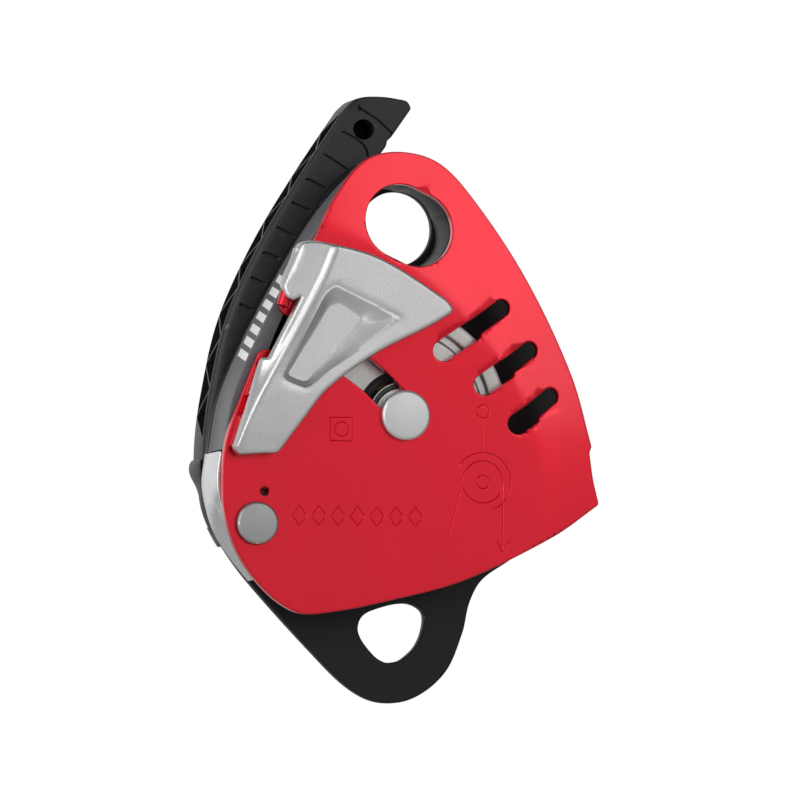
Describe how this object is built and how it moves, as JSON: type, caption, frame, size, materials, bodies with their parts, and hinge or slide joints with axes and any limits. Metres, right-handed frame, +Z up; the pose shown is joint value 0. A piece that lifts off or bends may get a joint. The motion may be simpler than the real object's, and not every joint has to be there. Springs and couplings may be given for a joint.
{
  "type": "rope descender",
  "caption": "Rescue rope descender: a capstan sheave between a swinging red side plate and a black rear plate, with a gate, a braking handle, an anchor eye and a lower eye.",
  "frame": {"origin": "middle of the flat at the top of the anchor eye, where the anchor connector bears", "axes": "+Z up along the hanging load, from the lower eye to the anchor eye; +Y from the swinging side plate to the rear plate and the handle; +X to the right seen from the swinging plate"},
  "size_m": [0.1425, 0.0565, 0.2207],
  "materials": {
    "red_anodised": "red anodised aluminium, satin",
    "black_plate": "black anodised aluminium, satin",
    "satin_aluminium": "bead-blasted cast or turned aluminium",
    "polished_steel": "polished stainless steel",
    "steel": "turned steel",
    "dark_steel": "blackened steel",
    "grey_housing": "grey moulded nylon",
    "handle_nylon": "black glass-filled nylon",
    "seal_rubber": "black nitrile rubber",
    "bush_bronze": "sintered bronze"
  },
  "bodies": {
    "frame": {"rear_side_plate": "black_plate", "spine_housing": "grey_housing", "brake_channel_insert": "polished_steel", "eye_bush": "dark_steel", "detent_pin": "steel", "main_axle": "satin_aluminium", "axle_washer": "steel", "axle_nut": "dark_steel", "pivot_axle": "satin_aluminium", "pivot_nut": "dark_steel", "axle_collar": "satin_aluminium", "bearing_inner_race": "steel", "pawl_carrier": "steel", "pawl_pin_1": "steel", "pawl_pin_2": "steel", "frame_screw_1": "dark_steel", "frame_screw_2": "dark_steel", "frame_screw_3": "dark_steel", "frame_screw_4": "dark_steel", "frame_screw_5": "dark_steel"},
    "sheave": {"sheave": "satin_aluminium", "ratchet_ring": "dark_steel", "bearing_outer_race": "steel", "bearing_cage": "bush_bronze", "bearing_seal": "seal_rubber"},
    "pawl_1": {"pawl_1": "dark_steel"},
    "pawl_2": {"pawl_2": "dark_steel"},
    "brake_arm": {"brake_arm": "dark_steel", "brake_arm_bush": "bush_bronze", "brake_shoe": "steel", "shoe_pin_1": "steel", "shoe_pin_2": "steel"},
    "side_plate": {"side_plate": "red_anodised", "side_plate_bush": "bush_bronze", "gate_bracket_lower": "steel", "gate_bracket_upper": "steel", "gate_pin_lower": "steel", "gate_pin_upper": "steel"},
    "gate": {"gate": "satin_aluminium"},
    "handle": {"handle": "handle_nylon", "handle_bush": "bush_bronze"}
  },
  "joints": [
    {"name": "side_plate_swing", "type": "hinge", "parent": "frame", "child": "side_plate", "pos_m": [-0.0593, -0.013, -0.12246], "axis": [0, 1, 0], "range_deg": [0, 90]},
    {"name": "gate_lift", "type": "hinge", "parent": "side_plate", "child": "gate", "pos_m": [-0.0666, -0.0174, -0.09546], "axis": [-0.3014, 0, -0.9535], "range_deg": [0, 60]},
    {"name": "handle_pull", "type": "hinge", "parent": "frame", "child": "handle", "pos_m": [-0.0593, 0.019, -0.12246], "axis": [0, -1, 0], "range_deg": [0, 95]},
    {"name": "brake_arm_swing", "type": "hinge", "parent": "frame", "child": "brake_arm", "pos_m": [-0.0593, 0.0017, -0.12246], "axis": [0, 1, 0], "range_deg": [0, 6.7]},
    {"name": "sheave_spin", "type": "hinge", "parent": "frame", "child": "sheave", "pos_m": [-0.0042, 0, -0.08296], "axis": [0, 1, 0], "continuous": true},
    {"name": "pawl_1_turn", "type": "hinge", "parent": "frame", "child": "pawl_1", "pos_m": [-0.00522, 0.0051, -0.06839], "axis": [0, 1, 0], "range_deg": [0, 8]},
    {"name": "pawl_2_turn", "type": "hinge", "parent": "frame", "child": "pawl_2", "pos_m": [-0.00318, 0.0051, -0.09752], "axis": [0, 1, 0], "range_deg": [0, 8]}
  ],
  "couplings": [
    {"joint": "gate_lift", "follows": "side_plate_swing", "ratio": 0.6666},
    {"joint": "brake_arm_swing", "follows": "handle_pull", "ratio": 0.07}
  ]
}
